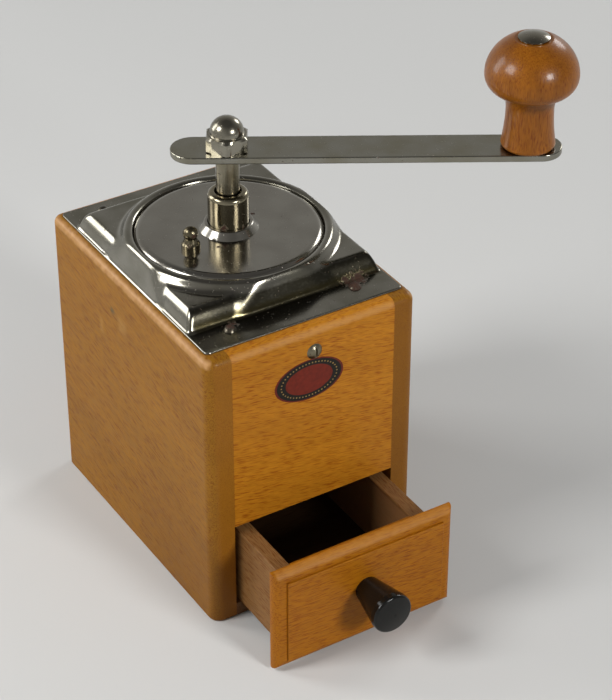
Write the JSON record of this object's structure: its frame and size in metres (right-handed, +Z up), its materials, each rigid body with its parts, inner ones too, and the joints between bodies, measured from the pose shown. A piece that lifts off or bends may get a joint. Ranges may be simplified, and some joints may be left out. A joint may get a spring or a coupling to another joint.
{
  "type": "poppy seed mill",
  "caption": "Box-shaped table mill for poppy seed: side crank on a vertical shaft, pressed metal top with a round lift-up lid, toothed cone grinder and a pull-out drawer.",
  "frame": {"origin": "centre of the wooden box's footprint at table level", "axes": "+X to the right seen from the front, +Y to the back, +Z up; the drawer front faces -Y"},
  "size_m": [0.1759, 0.2014, 0.2366],
  "materials": {
    "varnished_beech": "satin clear varnish over beech",
    "bare_beech": "planed, unvarnished",
    "nickel_plate": "bright nickel plating on steel, lightly worn",
    "plain_steel": "bright turned steel",
    "grey_iron": "plain grey casting",
    "burr_steel": "hardened, dark grey",
    "black_plastic": "polished black"
  },
  "bodies": {
    "body": {"left_side_board": "varnished_beech", "right_side_board": "varnished_beech", "front_panel": "varnished_beech", "back_panel": "varnished_beech", "base_board": "bare_beech", "top_plate": "nickel_plate", "plate_nails": "nickel_plate", "frame_screws": "nickel_plate", "hopper_bowl": "nickel_plate", "mill_casting": "grey_iron", "bearing_collar": "nickel_plate", "burr_ring": "burr_steel", "lower_bridge": "grey_iron", "bridge_bolts": "plain_steel", "click_spring": "plain_steel"},
    "crank": {"crank_shaft": "plain_steel", "crank_arm": "nickel_plate", "cap_nut": "nickel_plate", "grinding_cone": "burr_steel", "cone_pin": "plain_steel", "knob_spindle": "nickel_plate"},
    "knob": {"crank_knob": "varnished_beech"},
    "lid": {"lid": "nickel_plate", "lid_knob": "nickel_plate"},
    "drawer": {"drawer_front": "varnished_beech", "drawer_left_side": "bare_beech", "drawer_right_side": "bare_beech", "drawer_back": "bare_beech", "drawer_bottom": "bare_beech", "drawer_knob": "black_plastic", "drawer_knob_screw": "plain_steel"},
    "adjuster": {"adjusting_screw": "plain_steel"}
  },
  "joints": [
    {"name": "crank_turn", "type": "hinge", "parent": "body", "child": "crank", "pos_m": [0, 0, 0.1], "axis": [0, 0, 1], "continuous": true},
    {"name": "knob_spin", "type": "hinge", "parent": "crank", "child": "knob", "pos_m": [0.10651, -0.06349, 0.21], "axis": [0, 0, 1], "continuous": true},
    {"name": "lid_lift", "type": "slide", "parent": "body", "child": "lid", "axis": [0, 0, 1], "range_m": [0, 0.02]},
    {"name": "drawer_slide", "type": "slide", "parent": "body", "child": "drawer", "axis": [0, -1, 0], "range_m": [-0.0362, 0.055]},
    {"name": "adjuster_turn", "type": "hinge", "parent": "body", "child": "adjuster", "pos_m": [0, 0, 0.06], "axis": [0, 0, 1], "range_deg": [-180, 180]}
  ]
}
